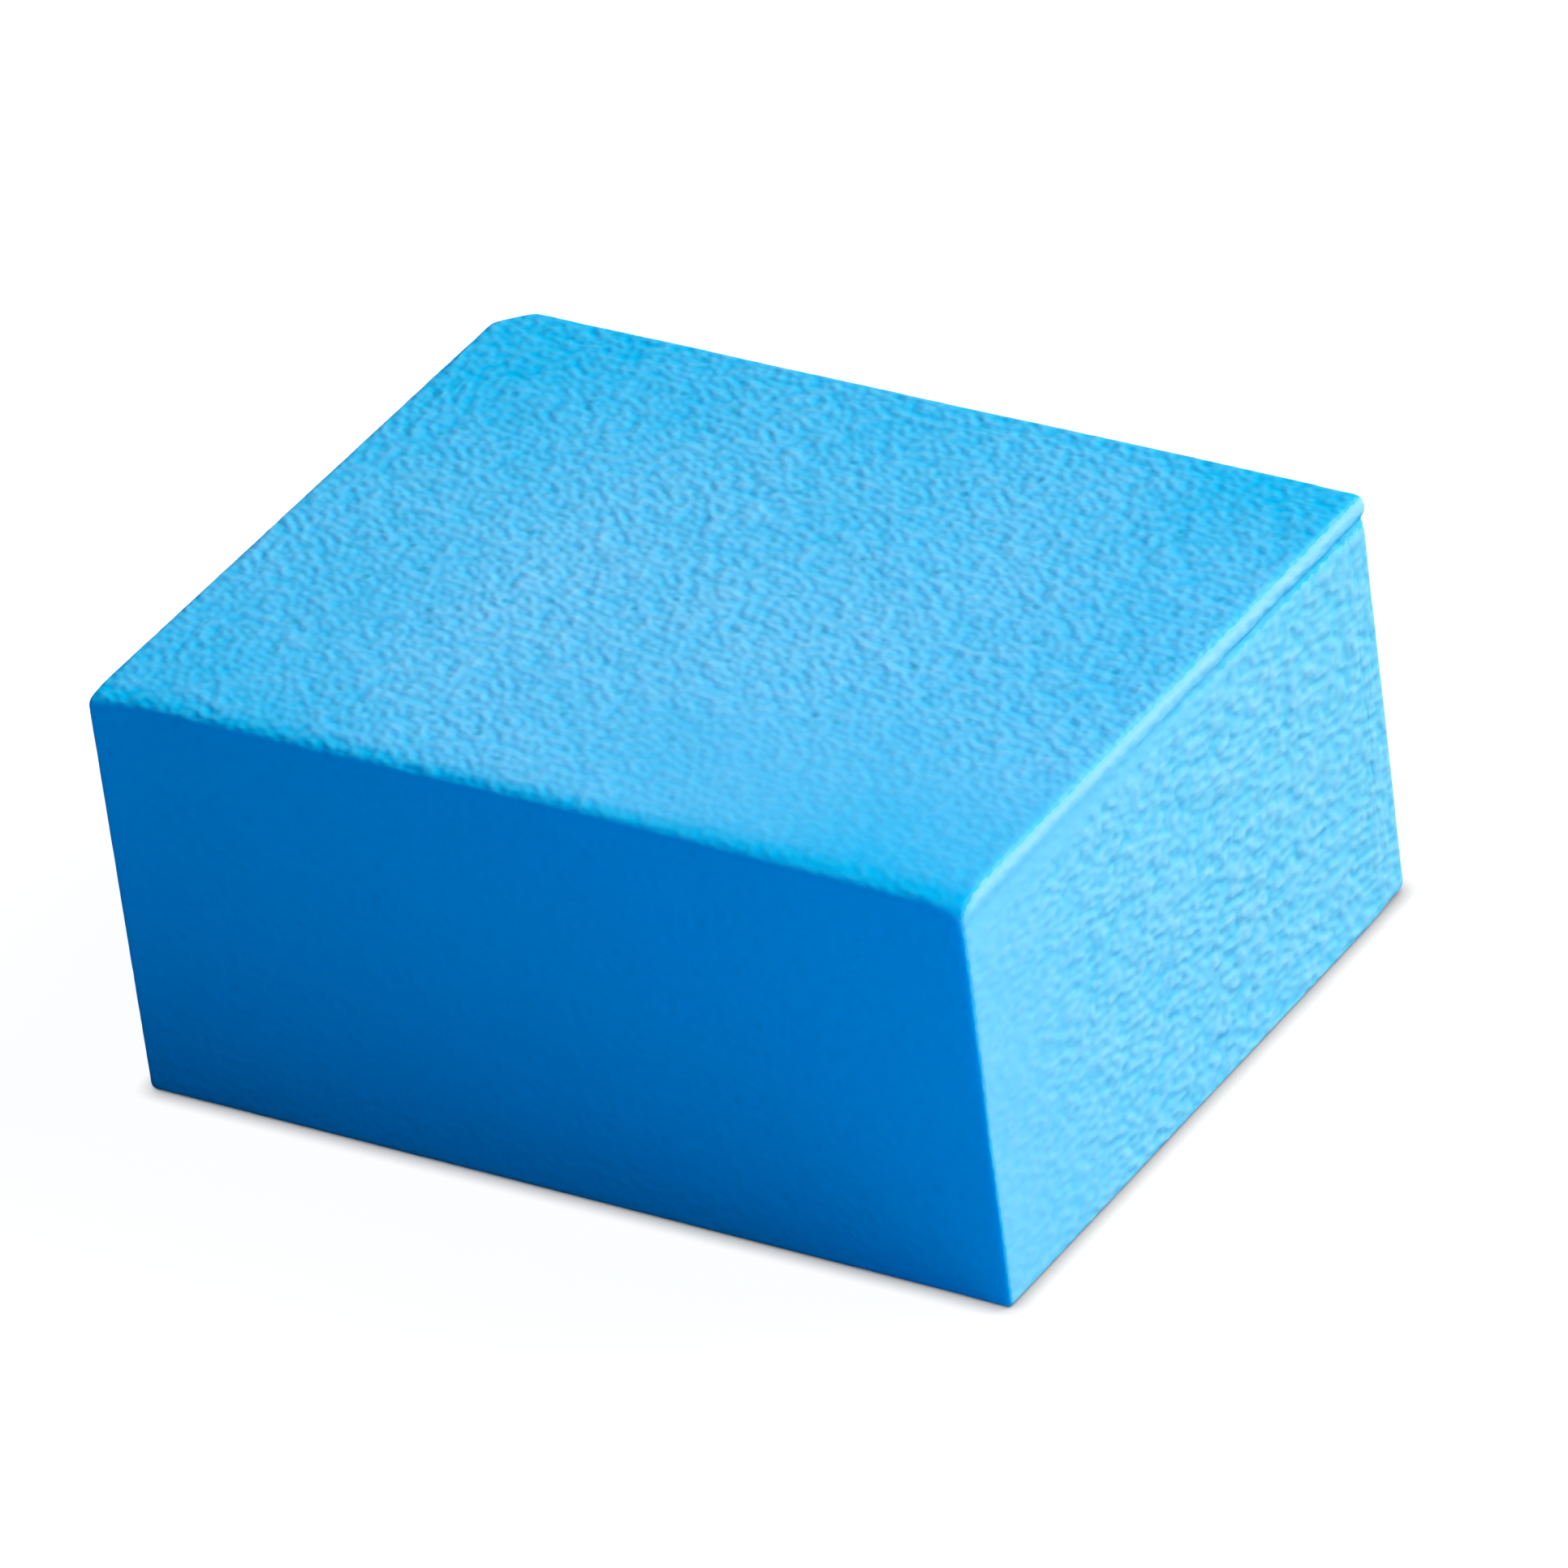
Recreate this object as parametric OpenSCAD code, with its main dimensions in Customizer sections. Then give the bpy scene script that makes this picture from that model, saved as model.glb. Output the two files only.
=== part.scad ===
// Cleaning sponge: a hand-sized block cut from one piece of fine-celled
// polyurethane foam.
//
// Millimetres, +Z up.  The origin is the middle of the underside.  The long
// front side faces -Y, and the end that carries the rolled lip faces +X.
//
// The knife crosses the foam three times, once along each axis, so the body is
// what three straight cuts have in common.  The foam gave way as the front was
// cut, which left that side hollow towards its top.  The lip is the skin that the
// last cut dragged over the end, and the crease is where the skin folded.

/* [Block] */
// Length of the block, from end to end, with the lip
block_length = 100; // [60:1:200]
// Depth of the block, from front to rear
block_depth = 78; // [50:1:150]
// Height of the block
block_height = 46.5; // [25:0.5:100]

/* [Corners and edges] */
// Radius of the two upright corners at the front
front_corner_radius = 1.2; // [0.5:0.1:6]
// Radius of the upright corner at the rear, beside the lip
rear_corner_radius = 1.2; // [0.5:0.1:6]
// Leg of the flat cut across the other rear corner
corner_cut = 4; // [1:0.5:12]
// Radius of every other long edge
edge_radius = 0.7; // [0.3:0.1:3]

/* [Front side] */
// How far back the top of the front side is hollowed, halfway along it
hollow_depth = 1.1; // [0.3:0.1:4]
// Height at which the hollow starts
hollow_start = 6; // [2:1:20]
// Width of the strip of the top that falls away towards the front
fall_width = 4.5; // [2:0.5:15]
// How far it has fallen where it meets the front
fall_depth = 0.65; // [0.2:0.05:1.5]

/* [Rolled lip] */
// Radius of the roll
lip_radius = 1; // [0.5:0.1:2]
// How far the roll stands out from the end below it
lip_proud = 0.15; // [0.1:0.05:0.45]

/* [Crease] */
// Gap between the roll and the middle of the crease
crease_gap = 0.3; // [0.3:0.1:3]
// Depth of the crease at the front side, where it starts
crease_front_depth = 0.1; // [0.1:0.05:1]
// Depth of the crease at the rear side, where it is deepest
crease_rear_depth = 0.6; // [0.1:0.05:1.5]
// Angle between the two walls of the crease
crease_angle = 40; // [20:5:80]

/* [Hidden] */

foam_blue = [0.28, 0.74, 0.94];
// Segments round a full circle
$fn = 64;
// How far a cutting shape runs past what it cuts
overrun = 1;

// The body ends where the roll starts to stand out
body_length = block_length - lip_proud;
body_shift = -lip_proud / 2;
end_x = block_length / 2 - lip_proud;

// The hollow and the fall are arcs of large circles
hollow_radius = ((block_length / 2) ^ 2 + hollow_depth ^ 2) / (2 * hollow_depth);
hollow_lean = atan(hollow_depth / (block_height - hollow_start));
hollow_segments = 1440;
fall_radius = (fall_width ^ 2 + fall_depth ^ 2) / (2 * fall_depth);

crease_z = block_height - 2 * lip_radius - crease_gap;
crease_slope = atan((crease_rear_depth - crease_front_depth) / block_depth);

// What a radius takes off a corner that lies at the origin, with the sheet in
// the quarter towards +X and +Y
module corner_waste(radius) {
    difference() {
        translate([-overrun, -overrun])
            square(radius + overrun);
        translate([radius, radius])
            circle(radius);
    }
}

// A centred rectangle.  Its corner radii start at the lower left and go round
// anticlockwise.
module trimmed_rectangle(width, height, radii) {
    difference() {
        square([width, height], center = true);
        for (i = [0 : 3]) {
            right = i == 1 || i == 2;
            upper = i >= 2;
            translate([(right ? 0.5 : -0.5) * width, (upper ? 0.5 : -0.5) * height])
                rotate(90 * i)
                    corner_waste(radii[i]);
        }
    }
}

// First cut, downwards: the outline seen from above
module cut_down(length) {
    linear_extrude(block_height)
        trimmed_rectangle(length, block_depth,
            [front_corner_radius, front_corner_radius, rear_corner_radius, edge_radius]);
}

// What the fall of the top takes off the outline seen from the lipped end
module fall_waste() {
    translate([-block_depth / 2 + fall_width, block_height / 2])
        difference() {
            translate([-fall_width - overrun, -fall_depth - overrun])
                square([fall_width + overrun, fall_depth + 2 * overrun]);
            translate([0, -fall_radius])
                circle(fall_radius);
        }
}

// Second cut, from end to end: the outline seen from the lipped end
module cut_along() {
    translate([-block_length / 2, 0, block_height / 2])
        rotate([90, 0, 90])
            linear_extrude(block_length)
                difference() {
                    trimmed_rectangle(block_depth, block_height,
                        [edge_radius, edge_radius, edge_radius, edge_radius]);
                    fall_waste();
                }
}

// Third cut, from front to rear: the outline of the body seen from the front
module cut_across() {
    translate([0, block_depth / 2, block_height / 2])
        rotate([90, 0, 0])
            linear_extrude(block_depth)
                trimmed_rectangle(body_length, block_height,
                    [edge_radius, edge_radius, lip_radius, edge_radius]);
}

module body() {
    intersection() {
        translate([body_shift, 0, 0])
            cut_down(body_length);
        cut_along();
        translate([body_shift, 0, 0])
            cut_across();
    }
}

// The roll of skin, trimmed by the same two cuts as the body
module lip() {
    intersection() {
        translate([block_length / 2 - lip_radius, block_depth / 2, block_height - lip_radius])
            rotate([90, 0, 0])
                cylinder(h = block_depth, r = lip_radius);
        cut_down(block_length);
        cut_along();
    }
}

// The fold under the lip: a wedge that swings inwards towards the rear
module crease() {
    reach = crease_rear_depth + overrun;
    half_width = reach * tan(crease_angle / 2);
    translate([end_x - crease_front_depth, -block_depth / 2, crease_z])
        rotate([0, 0, crease_slope])
            translate([0, -overrun, 0])
                rotate([-90, 0, 0])
                    linear_extrude(block_depth + 2 * overrun)
                        polygon([[0, 0], [reach, -half_width], [reach, half_width]]);
}

// The hollow of the front side: the side of a huge leaning cylinder, which
// reaches both ends of the block just at the top
module front_hollow() {
    height = 2 * block_height;
    translate([0, -block_depth / 2, hollow_start])
        rotate([-hollow_lean, 0, 0])
            translate([0, -hollow_radius, -height / 2])
                cylinder(h = height, r = hollow_radius, $fn = hollow_segments);
}

// The flat across the rear corner at the plain end
module corner_flat() {
    translate([-block_length / 2, block_depth / 2, -overrun])
        linear_extrude(block_height + 2 * overrun)
            polygon([
                [-overrun, overrun],
                [-overrun, -corner_cut - overrun],
                [corner_cut + overrun, overrun]
            ]);
}

module foam_block() {
    color(foam_blue)
        difference() {
            union() {
                body();
                lip();
            }
            crease();
            front_hollow();
            corner_flat();
        }
}

foam_block();
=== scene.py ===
import bpy
import numpy as np
from mathutils import Euler, Matrix, Vector


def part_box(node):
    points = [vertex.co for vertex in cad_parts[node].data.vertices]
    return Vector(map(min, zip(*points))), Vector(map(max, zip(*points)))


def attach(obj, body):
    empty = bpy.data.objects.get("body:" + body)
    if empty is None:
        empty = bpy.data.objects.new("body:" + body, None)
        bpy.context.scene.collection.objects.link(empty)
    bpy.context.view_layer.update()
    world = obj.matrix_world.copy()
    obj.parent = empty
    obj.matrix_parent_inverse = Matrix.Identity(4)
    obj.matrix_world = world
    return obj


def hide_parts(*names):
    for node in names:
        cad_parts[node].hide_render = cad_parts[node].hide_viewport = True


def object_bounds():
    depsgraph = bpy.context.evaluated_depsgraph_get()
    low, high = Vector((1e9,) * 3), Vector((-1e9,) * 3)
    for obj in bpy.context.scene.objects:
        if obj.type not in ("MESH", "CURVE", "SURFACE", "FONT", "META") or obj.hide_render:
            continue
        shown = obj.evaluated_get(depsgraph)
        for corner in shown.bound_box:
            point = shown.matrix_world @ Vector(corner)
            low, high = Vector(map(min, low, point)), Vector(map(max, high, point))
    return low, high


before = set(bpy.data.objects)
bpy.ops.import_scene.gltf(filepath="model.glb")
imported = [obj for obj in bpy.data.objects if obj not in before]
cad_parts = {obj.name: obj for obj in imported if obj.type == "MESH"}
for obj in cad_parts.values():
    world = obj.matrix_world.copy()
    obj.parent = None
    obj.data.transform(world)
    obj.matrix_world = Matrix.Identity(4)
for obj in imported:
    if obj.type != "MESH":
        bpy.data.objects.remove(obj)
cad_low, cad_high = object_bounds()

# ---- The foam block -------------------------------------------------------------
# One piece of fine-celled polyurethane foam, dyed through and knife-cut on all six
# sides.  Its skin is a net of cut cells: each has a rim of thin walls, which catch the
# light, round a shallow pit.

MM = 0.001
CELL_PITCH = 1.5  # mm between cells
CELL_JITTER = 0.34  # share of the pitch that a cell strays from its row
CELL_SEED = 11

# Where rows of cells lie in from an edge, in mm.  They are closer where the skin turns:
# at a plain edge, down over the lip and its crease, and as far as past the trimmed corner
EDGE_ROWS = np.array([0.0, 0.35, 0.75, 1.2, 1.9])
LIP_ROWS = np.array([0.0, 0.35, 0.75, 1.2, 1.6, 1.95, 2.2, 2.45, 2.9, 3.6])
CORNER_ROWS = np.array([0.0, 0.35, 0.75, 1.2, 1.8, 2.4, 3.0, 3.6, 3.95, 4.1, 4.6, 5.4])

low = np.array(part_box("foam_block")[0]) / MM
high = np.array(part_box("foam_block")[1]) / MM


def rows(start, end, start_rows, end_rows):
    """Where the rows lie across one side: close together at its edges, a pitch apart between."""
    first, last = start + start_rows[-1], end - end_rows[-1]
    middle = np.linspace(first, last, round((last - first) / CELL_PITCH) + 1)[1:-1]
    return np.concatenate([start + start_rows, middle, end - end_rows[::-1]])


def box_skin(lines, rng):
    """Points over a box, each strayed a little along its own side, and triangles between them."""
    steps = np.stack(np.meshgrid(*[np.arange(len(line)) for line in lines], indexing="ij"), -1)
    ends = np.array([len(line) - 1 for line in lines])
    outer = ((steps == 0) | (steps == ends)).any(-1)
    number = np.full(outer.shape, -1)
    number[outer] = np.arange(outer.sum())
    steps = steps[outer]
    points = np.stack([line[steps[:, a]] for a, line in enumerate(lines)], -1)
    for a, line in enumerate(lines):
        gap = np.diff(line)
        room = np.concatenate([[0], np.minimum(gap[:-1], gap[1:]), [0]])
        points[:, a] += rng.uniform(-1, 1, len(points)) * CELL_JITTER * room[steps[:, a]]
    upper, lower = number[:, :, -1], number[:, :, 0].T
    right, left = number[-1], number[0].T
    rear, front = number[:, -1].T, number[:, 0]
    quads = np.concatenate(
        [
            np.stack([s[:-1, :-1], s[1:, :-1], s[1:, 1:], s[:-1, 1:]], -1).reshape(-1, 4)
            for s in (upper, lower, right, left, rear, front)
        ]
    )
    a, b, c, d = points[quads].transpose(1, 0, 2)
    short = np.linalg.norm(a - c, axis=1) < np.linalg.norm(b - d, axis=1)
    one = np.where(short[:, None], quads[:, [0, 1, 2]], quads[:, [0, 1, 3]])
    two = np.where(short[:, None], quads[:, [0, 2, 3]], quads[:, [1, 2, 3]])
    return points, np.concatenate([one, two])


def ramp(value, start, end):
    """0 at start, 1 at end, smooth between."""
    t = np.clip((value - start) / (end - start), 0, 1)
    return t * t * (3 - 2 * t)


def ridge(value, middle, spread):
    """1 at the middle, falling away smoothly on both sides."""
    return np.exp(-(((value - middle) / spread) ** 2))


# Edges and corners
EDGE_RADIUS = 0.7
LIP_INWARD, LIP_DOWN = 0.7, 1.5  # how far the lip's rounded edge reaches in and down
FRONT_CORNER_RADIUS, REAR_CORNER_RADIUS = 0.5, 1.2
CORNER_CUT = 4.0
CUT_SOFTNESS = 0.02
CORNER_BLEND = 8.0, 2.0  # how far from a side its corners' radii start and are whole
TOP_BLEND = 4.0, 1.0  # the same below the top

# The dish of the front side, and the fall of the top to meet it
FRONT_BOW = 1.1  # how far back the top of the front side is cut
BOW_AT_PLAIN_END = -3.0, 7.0  # how far in from each end it starts and is whole
BOW_AT_LIP = -6.0, 50.0
BOW_REACH = 12.0  # how far behind the front the foam still gave way
FALL_WIDTH, FALL_DEPTH = 4.5, 0.65
FALL_BLEND = 2.5, 0.5  # how far below the top it starts and is whole

# The droop of the near corner beside the lip
DROOP_REACH, DROOP = 5.0, 1.3
DROOP_BLEND = 8.0, 1.0

# The lip, and the crease below it
LIP_PROUD = 0.12
LIP_MIDDLE, LIP_SPREAD = 1.3, 0.9
END_BLEND = 3.0, 0.4  # how far in from the end the lip and the crease start and are whole
CREASE_DROP = 2.7
CREASE_WIDTH = 0.5
CREASE_START = 20.0  # how far from the front it starts to deepen
CREASE_DEPTHS = (0.04, 0.45)  # at the front and at the rear


def crease_depth(y, below):
    """How deep the crease under the lip goes, at y and this far below the top."""
    along = ramp(y, low[1] + CREASE_START, high[1])
    depth = CREASE_DEPTHS[0] + (CREASE_DEPTHS[1] - CREASE_DEPTHS[0]) * along
    return depth * ridge(below, CREASE_DROP, CREASE_WIDTH)


def cut_block(points):
    """Takes points on the box to the cut block, with the way that its skin faces there."""
    x, y, z = points.T
    near_rear = ramp(y, high[1] - CORNER_BLEND[0], high[1] - CORNER_BLEND[1])
    near_lip = ramp(x, high[0] - CORNER_BLEND[0], high[0] - CORNER_BLEND[1])
    near_top = ramp(z, high[2] - TOP_BLEND[0], high[2] - TOP_BLEND[1])
    corner_radius = FRONT_CORNER_RADIUS + (REAR_CORNER_RADIUS - FRONT_CORNER_RADIUS) * near_rear
    upright = near_lip * (1 - near_top)
    along_lip = near_lip * near_top
    radius = EDGE_RADIUS + (corner_radius - EDGE_RADIUS) * upright
    lip_edge = np.array([LIP_INWARD, EDGE_RADIUS, LIP_DOWN])
    radius = radius[:, None] + (lip_edge - EDGE_RADIUS) * along_lip[:, None]
    core = np.clip(points, low + radius, high - radius)
    out = (points - core) / radius
    normal = out / np.linalg.norm(out, axis=1, keepdims=True)
    points = core + radius * normal
    x, y, z = points.T

    # The front side is dished: its top stands back, but not at the corners, and the
    # top falls away to meet it
    dish = ramp(x - low[0], *BOW_AT_PLAIN_END) * ramp(high[0] - x, *BOW_AT_LIP)
    from_front = y - low[1]
    up = (z - low[2]) / (high[2] - low[2])
    y = y + FRONT_BOW * dish * up * ramp(-from_front, -BOW_REACH, 0)
    to_front = np.clip(from_front, 0, FALL_WIDTH) / FALL_WIDTH
    on_top = ramp(z, high[2] - FALL_BLEND[0], high[2] - FALL_BLEND[1])
    z = z - on_top * FALL_DEPTH * (1 - to_front) ** 3
    to_corner = np.clip(1 - np.hypot(x - high[0], from_front) / DROOP_REACH, 0, 1)
    z = z - DROOP * to_corner**2 * ramp(z, high[2] - DROOP_BLEND[0], high[2] - DROOP_BLEND[1])

    # The end stands back from the lip, and the crease goes deeper
    below = high[2] - z
    on_end = ramp(x, high[0] - END_BLEND[0], high[0] - END_BLEND[1])
    set_back = LIP_PROUD * (1 - ridge(below, LIP_MIDDLE, LIP_SPREAD))
    x = x - on_end * (set_back + crease_depth(y, below))

    # What lies past the flat across the rear corner is pressed back to it
    past_cut = ((y - high[1]) - (x - low[0]) + CORNER_CUT) / np.sqrt(2)
    take = (past_cut + np.hypot(past_cut, CUT_SOFTNESS)) / 2 / np.sqrt(2)
    return np.stack([x + take, y - take, z], -1), normal


rng = np.random.default_rng(CELL_SEED)
lines = [
    rows(low[0], high[0], CORNER_ROWS, EDGE_ROWS),
    rows(low[1], high[1], EDGE_ROWS, CORNER_ROWS),
    rows(low[2], high[2], EDGE_ROWS, LIP_ROWS),
]
points, triangles = box_skin(lines, rng)
points, normal = cut_block(points)
x, y, z = points.T
below = high[2] - z
from_front = y - low[1]

# Which way the skin faces: 1 on a side, 0 on the others, smooth over the edge between
FACING = 0.3, 0.9
FACING_ENDS = 0.45, 0.95
TURNING = 0, 0.25
on_front = ramp(-normal[:, 1], *FACING)
on_end = ramp(normal[:, 0], *FACING)
on_rear_or_base = np.maximum(ramp(normal[:, 1], *FACING), ramp(-normal[:, 2], *FACING))
on_edge = ramp(1 - abs(normal).max(1), *TURNING)
across = ramp(abs(normal[:, 0]), *FACING_ENDS)  # 1 on the two ends

# How open the cells are cut, which is also how rough the skin is.  They close up towards
# the front of the top, hardly beside the plain end but well beside the lip, and towards
# the front of the lipped end.  They are closest on the front side, which had the sharpest
# knife, and a little closer on the rear, the underside and the edges.  The skin was dragged
# smooth along the lip, though less towards the rear.  A pair is where a change starts and
# where it is whole, in mm
OPEN_ON_TOP, OPEN_ON_END = 0.88, 0.9
TOP_CLOSING, TOP_CLOSING_DEPTH = 0.6, (5, 28)
SHARE_AT_PLAIN_END, TOWARDS_LIP = 0.12, (-25, 30)
END_CLOSING, END_CLOSING_DEPTH = 0.7, (10, 38)
DRAGGING, DRAGGED_DOWN_TO = 0.7, (-5.5, -3.5)
LESS_DRAGGED, LESS_DRAGGED_FROM = 0.45, (-15, 15)
REAR_CLOSING, FRONT_CLOSING, EDGE_CLOSING = 0.15, 0.75, 0.5
LEAST_OPEN, LEAST_OPEN_ON_FRONT = 0.12, 0.28

dragged = on_end * ramp(-below, *DRAGGED_DOWN_TO)
dragged = dragged * (1 - LESS_DRAGGED * ramp(y, *LESS_DRAGGED_FROM))
share = SHARE_AT_PLAIN_END + (1 - SHARE_AT_PLAIN_END) * ramp(x, *TOWARDS_LIP)
closing_on_top = TOP_CLOSING * ramp(-y, *TOP_CLOSING_DEPTH) * share
closing_on_end = END_CLOSING * ramp(-y, *END_CLOSING_DEPTH)
open_on_top, open_on_end = OPEN_ON_TOP - closing_on_top, OPEN_ON_END - closing_on_end
openness = open_on_top + (open_on_end - open_on_top) * on_end
openness = openness - DRAGGING * dragged - REAR_CLOSING * on_rear_or_base
openness = openness * (1 - FRONT_CLOSING * on_front)
openness = np.maximum(openness, LEAST_OPEN + (LEAST_OPEN_ON_FRONT - LEAST_OPEN) * on_front)
openness = openness * (1 - EDGE_CLOSING * on_edge)

# How far the knife was free to wander, as a share: whole along the soft front edge, less
# behind it, and not at all at the plain end or the underside
SLACK_BEHIND, SLACK_DEPTH = 0.35, (20, 38)
SLACK_ABOVE_BASE = 0.5, 4  # where it starts and where it is whole, in mm
SLACK_IN_FROM_END = 6
slack = SLACK_BEHIND + (1 - SLACK_BEHIND) * ramp(-y, *SLACK_DEPTH)
slack = slack * ramp(z, *SLACK_ABOVE_BASE) * ramp(x - low[0], 0, SLACK_IN_FROM_END)

# Painted light: the lipped end, which faces the window, is painted paler, but not the edge at the front,
# and less down in the crease, which is left darker as painted shade
FACING_OUT = 0.3, 0.85
END_LIGHT_FROM_FRONT = 0.1, 0.8
facing_out = ramp(normal[:, 0], *FACING_OUT)
painted_end_light = facing_out * (1 - crease_depth(y, below)) * ramp(from_front, *END_LIGHT_FROM_FRONT)

# Painted highlight along the crest of the lip, which faces the window, and painted shade down in the
# crease
CREST_HIGHLIGHT, CREST_MIDDLE, CREST_SPREAD = 0.5, 0.85, 0.45
CREASE_SHADE = 1.4  # per mm of its depth
CREST_AND_CREASE_FROM_FRONT = 0.5, 3
crest_light_and_crease_shade = CREST_HIGHLIGHT * ridge(below, CREST_MIDDLE, CREST_SPREAD) - CREASE_SHADE * crease_depth(y, below)
crest_light_and_crease_shade = crest_light_and_crease_shade * facing_out * ramp(from_front, *CREST_AND_CREASE_FROM_FRONT)

# How pale the dye is: it has faded most near the middle of the top and less towards its
# sides, above all at the front of the lip
FADING, FADED_MOST = 0.78, (10, -5)
LESS_AT_ENDS, LESS_AT_SIDES, LESS_AT_REAR = 0.3, 0.5, -0.2
LESS_AT_NEAR_CORNER, NEAR_CORNER = 0.25, (50, 80)
tone = FADING - LESS_AT_ENDS * ((x - FADED_MOST[0]) / high[0]) ** 2
tone = tone - LESS_AT_SIDES * ((y - FADED_MOST[1]) / high[1]) ** 2
tone = tone - LESS_AT_NEAR_CORNER * ramp(x - y, *NEAR_CORNER) - LESS_AT_REAR * on_rear_or_base

skin = bpy.data.meshes.new("foam_block_skin")
skin.from_pydata((points * MM).tolist(), [], triangles.tolist())
for name, value in (
    ("openness", openness),
    ("slack", slack),
    ("painted_end_light", painted_end_light),
    ("tone", tone),
    ("across", across),
    ("crest_light_and_crease_shade", crest_light_and_crease_shade),
):
    skin.attributes.new(name, "FLOAT", "POINT").data.foreach_set("value", value)
foam_block = bpy.data.objects.new("sponge_foam", skin)
bpy.context.collection.objects.link(foam_block)


def add(tree, kind, sockets=None, **settings):
    """A new node. sockets gives its inputs, by name or place, a value or another node's output."""
    made = tree.nodes.new(kind)
    for name, value in settings.items():
        setattr(made, name, value)
    for key, value in (sockets or {}).items():
        if isinstance(value, bpy.types.NodeSocket):
            tree.links.new(value, made.inputs[key])
        else:
            made.inputs[key].default_value = value
    return made


def math(tree, operation, *values):
    """The output of a Math node."""
    return add(tree, "ShaderNodeMath", dict(enumerate(values)), operation=operation).outputs[0]


def vector_math(tree, operation, sockets, output=0):
    """An output of a Vector Math node."""
    return add(tree, "ShaderNodeVectorMath", sockets, operation=operation).outputs[output]


def mix(tree, share, first, second):
    """The output of a colour Mix node."""
    sockets = {"Factor": share, 6: first, 7: second}
    return add(tree, "ShaderNodeMix", sockets, data_type="RGBA").outputs[2]


def smooth_range(tree, value, start, end, at_start=0.0, at_end=1.0):
    """A value between at_start and at_end, eased as value goes from start to end."""
    sockets = {"Value": value, "From Min": start, "From Max": end, "To Min": at_start, "To Max": at_end}
    return add(tree, "ShaderNodeMapRange", sockets, interpolation_type="SMOOTHSTEP").outputs[0]


def attribute(tree, name):
    """A number that the foam's mesh holds under this name, in a material."""
    return add(tree, "ShaderNodeAttribute", attribute_name=name).outputs["Fac"]


# The knife drew the cells out along its stroke, most of all on the two ends: the way it
# went, the share by which it drew them out, and the grain's scale per metre
END_STROKE, END_DRAWN, END_GRAIN = (0.0, 0.97, -0.25), 0.4, 1050.0
SIDE_STROKE, SIDE_DRAWN, SIDE_GRAIN = (-0.82, 0.57, 0.0), 0.27, 1080.0


def noise(tree, scale, detail, **sockets):
    """Plain noise, from 0 to 1, with this many waves in a metre."""
    sockets = {"Scale": scale, "Detail": detail, **sockets}
    return add(tree, "ShaderNodeTexNoise", sockets).outputs["Fac"]


def drawn_noise(tree, place, stroke, drawn, scale):
    """Plain noise, from 0 to 1, drawn out by this share along the stroke."""
    along = vector_math(tree, "DOT_PRODUCT", {0: place, 1: stroke}, "Value")
    back = math(tree, "MULTIPLY", along, -drawn)
    back = vector_math(tree, "SCALE", {0: stroke, "Scale": back})
    there = vector_math(tree, "ADD", {0: place, 1: back})
    return noise(tree, scale, 0.0, Vector=there)


def grain(tree, place, on_ends):
    """The cut foam's grain, from -0.5 to 0.5. on_ends is 1 on the two ends and 0 elsewhere."""
    end = drawn_noise(tree, place, END_STROKE, END_DRAWN, END_GRAIN)
    side = drawn_noise(tree, place, SIDE_STROKE, SIDE_DRAWN, SIDE_GRAIN)
    both = math(tree, "MULTIPLY_ADD", math(tree, "SUBTRACT", end, side), on_ends, side)
    return math(tree, "SUBTRACT", both, 0.5)


# Scuffs on the lipped end, in mm: how far from the front and below the top each one
# starts and stops, and how strong it is
SCUFFS = [
    ((7, 9), (24.5, 14.4), 0.30),
    ((41.5, 22.6), (64, 21.5), 0.30),
    ((46, 27), (60, 26), 0.2),
    ((30, 3.5), (36, 7), 0.25),
    ((2, 19), (9, 17), 0.2),
    ((0.6, 0.8), (2.5, 1.2), 0.25),
]
SCUFF_WIDTH = 0.32


def scuff_mark(tree, place, start, stop):
    """1 along a straight scuff on the lipped end, from start to stop, and 0 away from it."""
    start = Vector((high[0], low[1] + start[0], high[2] - start[1])) * MM
    span = Vector((high[0], low[1] + stop[0], high[2] - stop[1])) * MM - start
    reached = vector_math(tree, "SUBTRACT", {0: place, 1: start})
    share = vector_math(tree, "DOT_PRODUCT", {0: reached, 1: span / span.length_squared}, "Value")
    share = add(tree, "ShaderNodeClamp", {"Value": share}).outputs[0]
    nearest = vector_math(tree, "SCALE", {0: span, "Scale": share})
    away = vector_math(tree, "DISTANCE", {0: reached, 1: nearest}, "Value")
    return smooth_range(tree, away, 0.0, SCUFF_WIDTH * MM, 1.0, 0.0)


# The dye, from fresh to faded, then painted shade along the front edge of the top and over the
# whole front side, painted light on the lipped end, and painted shade down in the cells and pores
DYED, FADED = (0.022, 0.47, 0.81, 1), (0.15, 0.56, 0.86, 1)
SHADED, SHADED_STRIP = (0.0, 0.48, 0.80, 1), (4.0, 1.5)  # mm from the front
PAINTED_END_LIGHT_COLOUR = (0.205, 0.60, 0.77, 1)
PIT_SHADE = (0.0, 0.30, 0.50, 1)
CLOUDS, CLOUD_CONTRAST = 38.0, 1.3  # how many per metre, and how far the dye varies
PORES, PORE_RIM, PORE_STRENGTH = 230.0, (0.06, 0.16), 0.6
PORES_UNDER_END_LIGHT = 0.7  # share of them that doesn't show under the painted light on the lipped end
GRAIN_HEIGHT = 0.34
GRAIN_OF_CLOSED_SKIN = 0.15  # against 1 for what fully open cells add to it
GRAIN_PATCHES = 0.5, 0.55  # how far the grain comes and goes with the dye, and its least
NUB_SHOWS, PIT_SHADE_SHOWS = 0.2, 0.8  # how far the net of cells shows in the dye: raised corners paler, pits darker as painted shade
PALER_RED, PALER_GREEN, ADDED_RED = 0.55, 0.1, 0.08  # how a rim's colour differs


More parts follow.
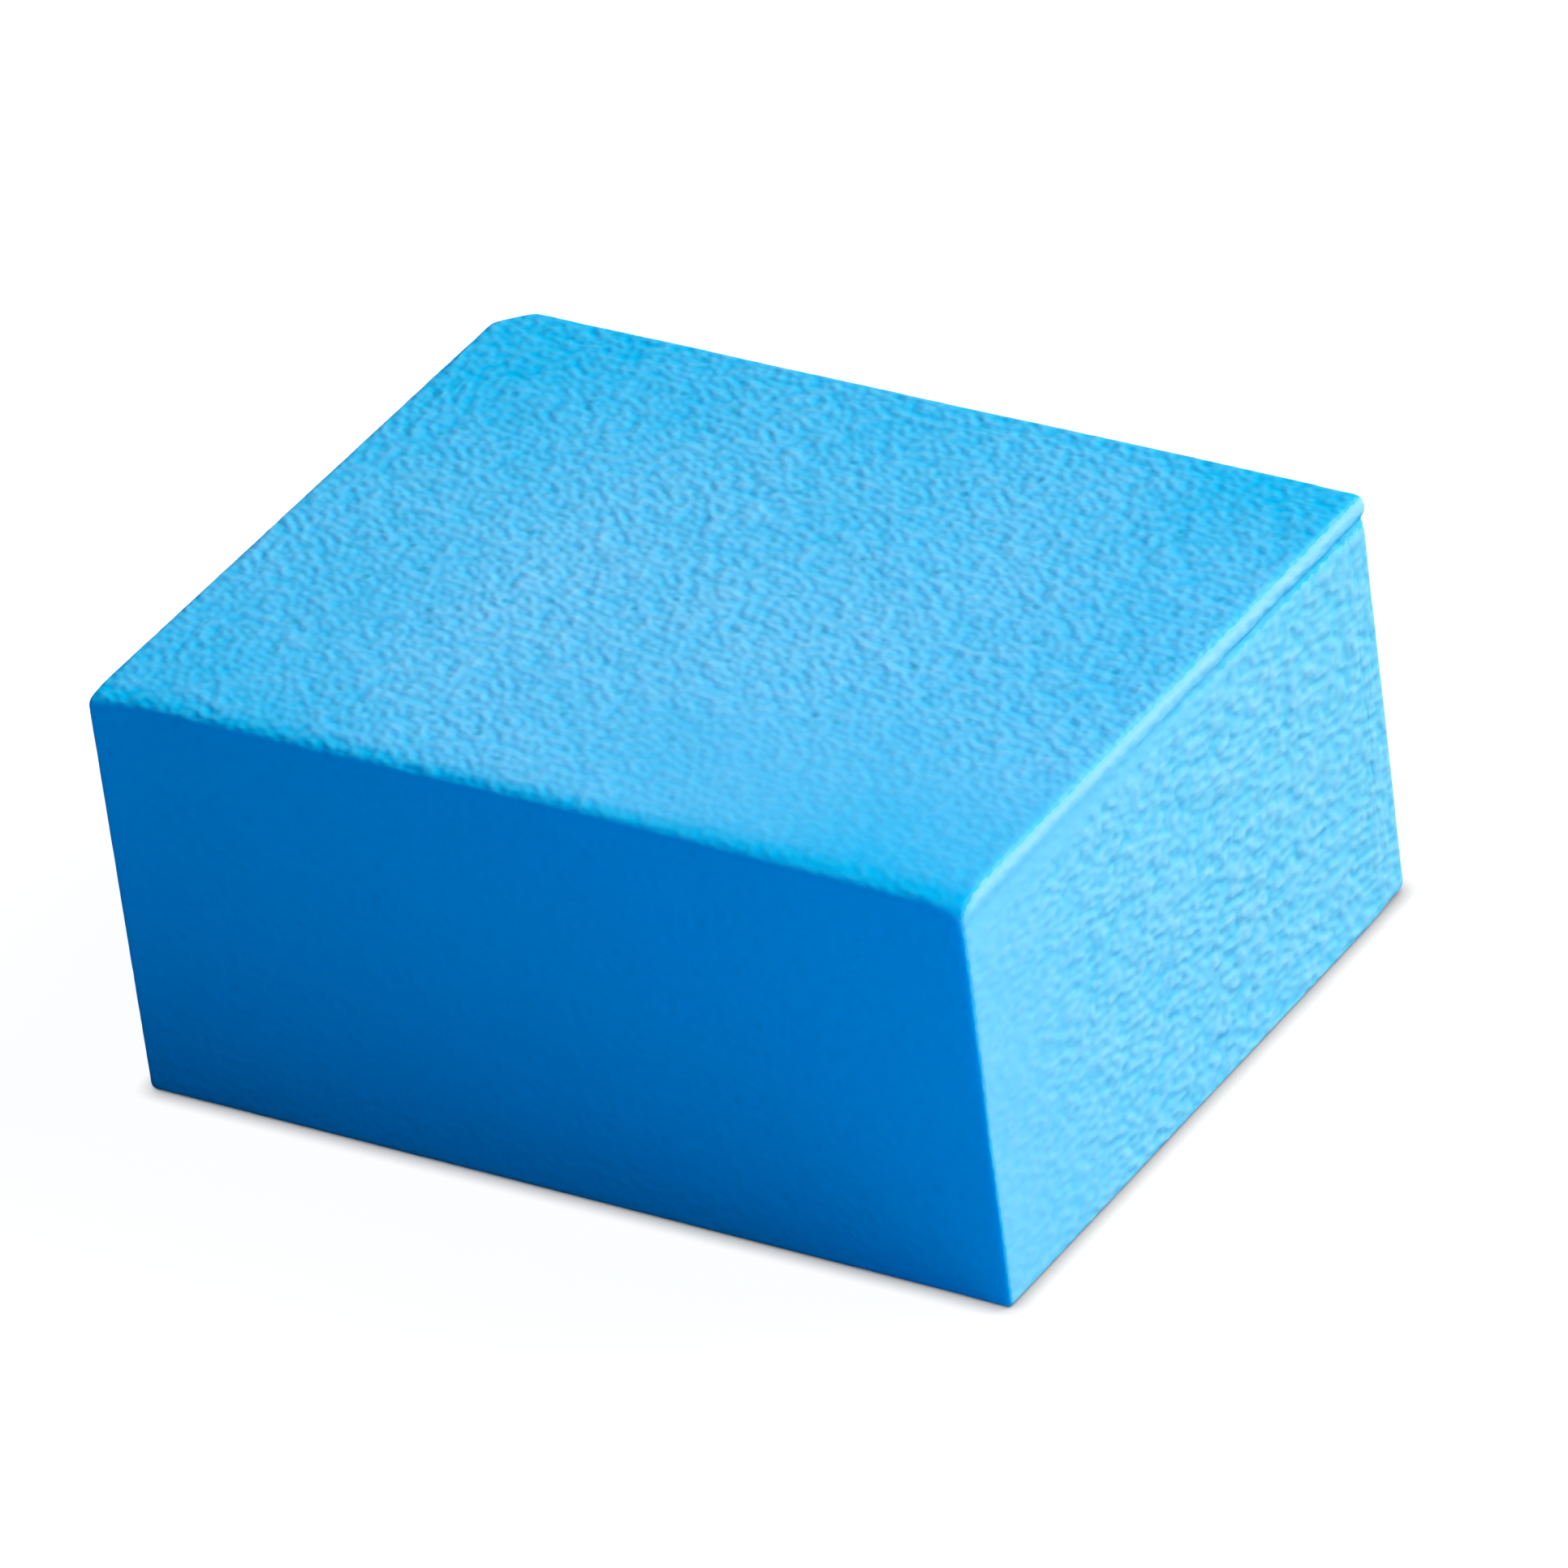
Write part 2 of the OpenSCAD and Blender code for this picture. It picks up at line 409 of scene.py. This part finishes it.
def foam_finish(tree):
    """Matt dyed foam: paler where it stands proud, with painted shade in the pits, pores, crease and
    along the front, painted light on the lipped end and the crest of its lip, a little uneven all over.
    """
    place = add(tree, "ShaderNodeTexCoord").outputs["Object"]
    openness = attribute(tree, "openness")
    painted_end_light = attribute(tree, "painted_end_light")

    # The dye is uneven
    cloud = noise(tree, CLOUDS, 3.0, Vector=place)
    uneven = math(tree, "SUBTRACT", cloud, 0.5)
    tone = math(tree, "MULTIPLY_ADD", uneven, CLOUD_CONTRAST, attribute(tree, "tone"))
    y = add(tree, "ShaderNodeSeparateXYZ", {0: place}).outputs["Y"]
    # Painted shade: the front side and a strip along the front edge of the top take a darker dye with no
    # red
    shaded = smooth_range(tree, y, *[(low[1] + reach) * MM for reach in SHADED_STRIP])
    dyed = mix(tree, tone, DYED, FADED)
    dyed = mix(tree, shaded, dyed, SHADED)
    # Painted light: the lipped end, which faces the window, is painted paler
    dyed = mix(tree, painted_end_light, dyed, PAINTED_END_LIGHT_COLOUR)

    # What stands proud is paler.  Light bounces once more before it leaves a hollow, and
    # the dye takes more of its red
    fine = grain(tree, place, attribute(tree, "across"))
    patches = math(tree, "MULTIPLY_ADD", cloud, *GRAIN_PATCHES)
    rough = math(tree, "ADD", openness, GRAIN_OF_CLOSED_SKIN)
    rough = math(tree, "MULTIPLY", rough, patches)
    # The crest of the lip gets a painted highlight and the crease painted shade
    proud = math(tree, "MULTIPLY_ADD", fine, rough, attribute(tree, "crest_light_and_crease_shade"))
    proud = math(tree, "MULTIPLY_ADD", attribute(tree, "nub"), NUB_SHOWS, proud)
    for start, stop, strength in SCUFFS:
        proud = math(tree, "MULTIPLY_ADD", scuff_mark(tree, place, start, stop), strength, proud)
    red = math(tree, "MULTIPLY_ADD", proud, PALER_RED, 1.0)
    green = math(tree, "MULTIPLY_ADD", proud, PALER_GREEN, 1.0)
    tint = add(tree, "ShaderNodeCombineXYZ", {"X": red, "Y": green, "Z": 1.0}).outputs[0]
    redder = vector_math(tree, "SCALE", {0: (ADDED_RED, 0.0, 0.0), "Scale": proud})
    rims = vector_math(tree, "MULTIPLY_ADD", {0: dyed, 1: tint, 2: redder})

    # A few dark specks are painted shade for deep pores, which the mesh doesn't sink, fewer of them
    # under the painted light on the lipped end; the pits of the cells are painted darker towards their
    # middles, as painted shade
    pore = add(tree, "ShaderNodeTexVoronoi", {"Vector": place, "Scale": PORES}).outputs["Distance"]
    pore = smooth_range(tree, pore, *PORE_RIM, PORE_STRENGTH, 0.0)
    pore = math(tree, "MULTIPLY", pore, openness)
    pore = math(tree, "MULTIPLY", pore, math(tree, "MULTIPLY_ADD", painted_end_light, -PORES_UNDER_END_LIGHT, 1.0))
    deep = math(tree, "MULTIPLY_ADD", attribute(tree, "pit_depth"), PIT_SHADE_SHOWS, pore)
    colour = mix(tree, deep, rims, PIT_SHADE)

    sockets = {"Height": fine, "Strength": rough, "Distance": GRAIN_HEIGHT * MM}
    bump = add(tree, "ShaderNodeBump", sockets)
    shader = add(
        tree,
        "ShaderNodeBsdfPrincipled",
        {
            "Base Color": colour,
            "Normal": bump.outputs["Normal"],
            "Roughness": 0.95,
            "Specular IOR Level": 0.05,
            "Subsurface Weight": 0.3,
            "Subsurface Radius": (0.2, 0.8, 1.6),
            "Subsurface Scale": MM,
        },
    )
    add(tree, "ShaderNodeOutputMaterial", {"Surface": shader.outputs[0]})


foam = bpy.data.materials.new("blue_foam")
foam.use_nodes = True
foam.node_tree.nodes.clear()
foam_finish(foam.node_tree)


def named(tree, name):
    """A number that the skin holds under this name, in Geometry Nodes."""
    return add(tree, "GeometryNodeInputNamedAttribute", {"Name": name}, data_type="FLOAT").outputs[0]


def store(tree, name, domain, sockets):
    """Keeps a number under this name on each point or face."""
    return add(
        tree,
        "GeometryNodeStoreNamedAttribute",
        {"Name": name, **sockets},
        data_type="FLOAT",
        domain=domain,
    ).outputs[0]


def move_out(tree, geometry, distance):
    """Moves each point along its normal."""
    normal = add(tree, "GeometryNodeInputNormal").outputs[0]
    offset = vector_math(tree, "SCALE", {0: normal, "Scale": distance})
    return add(tree, "GeometryNodeSetPosition", {"Geometry": geometry, "Offset": offset}).outputs[0]


def chance(tree, least, most, seed):
    """A number by chance, from least to most, for each point or face."""
    sockets = {2: least, 3: most, "Seed": seed}
    return add(tree, "FunctionNodeRandomValue", sockets).outputs[1]


WAVES = 70.0  # how many per metre the knife wanders by
WITH_GRAIN = 2.0  # how far a corner follows the grain, against 1 for chance
NUB_CHANCE = -0.5, 0.5
PIT_CHANCE = -0.5, 1.0  # a third of the cells bulge instead
TOGETHER = 0.002  # corners that lie closer than this, in mm, are one


def foam_cells():
    """Turns a triangulated skin into a net of cut cells, one pit for each of its points."""
    tree = bpy.data.node_groups.new("foam_cells", "GeometryNodeTree")
    face = tree.interface
    face.new_socket("Geometry", in_out="INPUT", socket_type="NodeSocketGeometry")
    for name, kind, value in (
        ("Pit Depth", "NodeSocketFloat", 0.1),
        ("Deepest", "NodeSocketFloat", 0.35 * MM),
        ("Nub Height", "NodeSocketFloat", 0.08),
        ("Wander", "NodeSocketFloat", 0.6 * MM),
        ("Nub Seed", "NodeSocketInt", 5),
        ("Pit Seed", "NodeSocketInt", 3),
    ):
        face.new_socket(name, in_out="INPUT", socket_type=kind).default_value = value
    face.new_socket("Foam", in_out="INPUT", socket_type="NodeSocketMaterial")
    face.new_socket("Geometry", in_out="OUTPUT", socket_type="NodeSocketGeometry")
    given = add(tree, "NodeGroupInput").outputs

    # The knife wanders
    wave = noise(tree, WAVES, 2.0)
    shift = math(tree, "MULTIPLY", math(tree, "SUBTRACT", wave, 0.5), given["Wander"])
    shift = math(tree, "MULTIPLY", shift, named(tree, "slack"))
    wavy = move_out(tree, given["Geometry"], shift)

    # Each point of the skin becomes a cell, and each triangle a corner where walls meet
    net = add(tree, "GeometryNodeDualMesh", {"Mesh": wavy}).outputs[0]

    # The corners stand up or lie low by chance and with the grain
    openness = named(tree, "openness")
    place = add(tree, "GeometryNodeInputPosition").outputs[0]
    worm = grain(tree, place, named(tree, "across"))
    height = chance(tree, *NUB_CHANCE, given["Nub Seed"])
    height = math(tree, "MULTIPLY_ADD", worm, WITH_GRAIN, height)
    height = math(tree, "MULTIPLY", height, openness)
    nubbed = store(tree, "nub", "POINT", {"Geometry": net, "Value": height})
    width = math(tree, "SQRT", add(tree, "GeometryNodeInputMeshFaceArea").outputs[0])
    rise = math(tree, "MULTIPLY", math(tree, "MULTIPLY", named(tree, "nub"), width), given["Nub Height"])
    net = move_out(tree, nubbed, rise)

    # Each cell is sunk to a point in its middle, by a share of its width
    pit = math(tree, "MULTIPLY", width, given["Pit Depth"])
    pit = math(tree, "MULTIPLY", pit, chance(tree, *PIT_CHANCE, given["Pit Seed"]))
    pit = math(tree, "MULTIPLY", pit, openness)
    marked = store(tree, "cell_depth", "FACE", {"Geometry": net, "Value": pit})
    cell_depth = named(tree, "cell_depth")
    sunk = add(
        tree,
        "GeometryNodeExtrudeMesh",
        {"Mesh": marked, "Offset Scale": math(tree, "MULTIPLY", cell_depth, -1.0), "Individual": True},
        mode="FACES",
    ).outputs
    shade = math(tree, "DIVIDE", cell_depth, given["Deepest"])
    sockets = {"Geometry": sunk["Mesh"], "Selection": sunk["Top"], "Value": shade}
    shaded = store(tree, "pit_depth", "POINT", sockets)
    sockets = {"Geometry": shaded, "Selection": sunk["Top"], "Scale": 0.0}
    pointed = add(tree, "GeometryNodeScaleElements", sockets, domain="FACE").outputs[0]
    sockets = {"Geometry": pointed, "Distance": TOGETHER * MM}
    closed = add(tree, "GeometryNodeMergeByDistance", sockets).outputs[0]
    smooth = add(tree, "GeometryNodeSetShadeSmooth", {"Geometry": closed}).outputs[0]
    real = add(tree, "GeometryNodeRealizeInstances", {"Geometry": smooth}).outputs[0]
    sockets = {"Geometry": real, "Material": given["Foam"]}
    coated = add(tree, "GeometryNodeSetMaterial", sockets).outputs[0]
    add(tree, "NodeGroupOutput", {"Geometry": coated})
    return tree


def set_inputs(modifier, values):
    """Sets a Geometry Nodes modifier's inputs, given by the names that they have in the tree."""
    for item in modifier.node_group.interface.items_tree:
        if item.in_out == "INPUT" and item.name in values:
            modifier[item.identifier] = values[item.name]


cells = foam_block.modifiers.new("cells", "NODES")
cells.node_group = foam_cells()
set_inputs(cells, {"Foam": foam})
finished = foam_block.evaluated_get(bpy.context.evaluated_depsgraph_get())
made = bpy.data.meshes.new_from_object(finished)
foam_block.modifiers.remove(cells)
foam_block.data = made
foam_block.data.name = "sponge_foam"

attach(foam_block, "root")
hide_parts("foam_block")

# ---- The floor and the white behind it ------------------------------------------
# A plain sheet that the block stands on, lit as a white one where it is seen.  To the
# block it is a dim blue bench, so that it throws back little light, and only blue.

FLOOR_REACH = 3.0
FLOOR_CORNERS = [
    (x * FLOOR_REACH, y * FLOOR_REACH, 0) for x, y in ((-1, -1), (1, -1), (1, 1), (-1, 1))
]
FLOOR_GLOW, FLOOR_GREY = 0.97, 0.09
CONTACT_REACH = 0.002  # how far the dark line at the block's foot spreads
BENCH, BENCH_IN_SHADE = (0.022, 0.46, 0.70, 1), (0.0, 0.0, 0.0, 1)
SHADE_REACH = 0.035
SHADE_END = 0.4  # where the shade ends towards the lip, as a share of the way there

floor_mesh = bpy.data.meshes.new("floor")
floor_mesh.from_pydata(FLOOR_CORNERS, [], [(0, 1, 2, 3)])
floor = bpy.data.objects.new("floor", floor_mesh)
bpy.context.collection.objects.link(floor)


def seen_directly(tree):
    """1 for rays from the camera and for those that gloss or glass passes on."""
    path = add(tree, "ShaderNodeLightPath").outputs
    seen = math(tree, "MAXIMUM", path["Is Camera Ray"], path["Is Glossy Ray"])
    return math(tree, "MAXIMUM", seen, path["Is Transmission Ray"])


def floor_finish(tree):
    """White where it is seen, with a thin shadow at the block's foot, and a dim blue bench to light."""
    touch = add(tree, "ShaderNodeAmbientOcclusion", {"Distance": CONTACT_REACH}, samples=3).outputs["AO"]
    glow = add(tree, "ShaderNodeEmission", {"Color": touch, "Strength": FLOOR_GLOW})
    matt = add(tree, "ShaderNodeBsdfDiffuse", {"Color": (FLOOR_GREY, FLOOR_GREY, FLOOR_GREY, 1)})
    white = add(tree, "ShaderNodeAddShader", {0: glow.outputs[0], 1: matt.outputs[0]})

    # In front of the block the bench lies in the block's own shade
    place = add(tree, "ShaderNodeTexCoord").outputs["Object"]
    place = add(tree, "ShaderNodeSeparateXYZ", {0: place}).outputs
    from_front = math(tree, "ABSOLUTE", math(tree, "SUBTRACT", place["Y"], cad_low[1]))
    from_front = math(tree, "DIVIDE", from_front, SHADE_REACH)
    past_end = math(tree, "SUBTRACT", place["X"], SHADE_END * cad_high[0])
    past_end = math(tree, "DIVIDE", past_end, SHADE_REACH)
    lit = math(tree, "MAXIMUM", from_front, past_end)
    bench = add(tree, "ShaderNodeBsdfDiffuse", {"Color": mix(tree, lit, BENCH_IN_SHADE, BENCH)})
    sockets = {0: seen_directly(tree), 1: bench.outputs[0], 2: white.outputs[0]}
    both = add(tree, "ShaderNodeMixShader", sockets)
    add(tree, "ShaderNodeOutputMaterial", {"Surface": both.outputs[0]})


sheet = bpy.data.materials.new("floor_white")
sheet.use_nodes = True
sheet.node_tree.nodes.clear()
floor_mesh.materials.append(sheet)
floor_finish(sheet.node_tree)


ROOM, ROOM_STRENGTH = (0.01, 0.28, 0.61, 1), 0.575


def studio(tree):
    """White where it is seen, and a dim blue room to light."""
    room = add(tree, "ShaderNodeBackground", {"Color": ROOM, "Strength": ROOM_STRENGTH})
    backdrop = add(tree, "ShaderNodeBackground", {"Color": (1, 1, 1, 1), "Strength": 1.0})
    sockets = {0: seen_directly(tree), 1: room.outputs[0], 2: backdrop.outputs[0]}
    either = add(tree, "ShaderNodeMixShader", sockets)
    add(tree, "ShaderNodeOutputWorld", {"Surface": either.outputs[0]})


world = bpy.data.worlds.new("studio")
bpy.context.scene.world = world
world.use_nodes = True
world.node_tree.nodes.clear()
studio(world.node_tree)

# ---- The lamps --------------------------------------------------------------------
# A broad soft window high beyond the lipped end, and a faint cool fill on the front.


def lamp(name, toward, distance, size, power, colour):
    """A square area lamp, at a distance from the block in the direction toward, facing it."""
    data = bpy.data.lights.new(name, "AREA")
    data.size, data.energy, data.color = size, power, colour
    made = bpy.data.objects.new(name, data)
    made.location = Vector(toward).normalized() * distance
    made.rotation_euler = Vector(toward).to_track_quat("Z", "Y").to_euler()
    made.visible_camera = False
    bpy.context.collection.objects.link(made)


lamp(
    "window",
    toward=(0.58, 0.50, 0.68),
    distance=2.0,
    size=1.15,
    power=65.0,
    colour=(1.0, 0.83, 0.68),
)
lamp(
    "bounce",
    toward=(0.55, -0.65, 0.45),
    distance=0.26,
    size=0.08,
    power=0.105,
    colour=(0.02, 0.47, 1.0),
)

# ---- The camera -------------------------------------------------------------------
# A long lens from in front of the near corner, a little above it and slightly rolled.

LENS, SENSOR_WIDTH = 330, 36  # mm
NEAREST, FARTHEST = 0.05, 20  # metres
AZIMUTH, ELEVATION, ROLL = np.radians([35.69, 32.65, 7.87])
DISTANCE = 1.416
AIM = Vector((2.0, 2.6, 23.25)) * MM

camera = bpy.data.cameras.new("camera")
camera.lens, camera.sensor_width = LENS, SENSOR_WIDTH
camera.clip_start, camera.clip_end = NEAREST, FARTHEST
camera_object = bpy.data.objects.new("camera", camera)
bpy.context.collection.objects.link(camera_object)
bpy.context.scene.camera = camera_object
turn = Euler((np.pi / 2 - ELEVATION, 0, AZIMUTH)).to_matrix() @ Matrix.Rotation(-ROLL, 3, "Z")
stand = AIM + turn @ Vector((0, 0, DISTANCE))
camera_object.matrix_world = Matrix.Translation(stand) @ turn.to_4x4()

bpy.context.scene.view_settings.view_transform = "Standard"
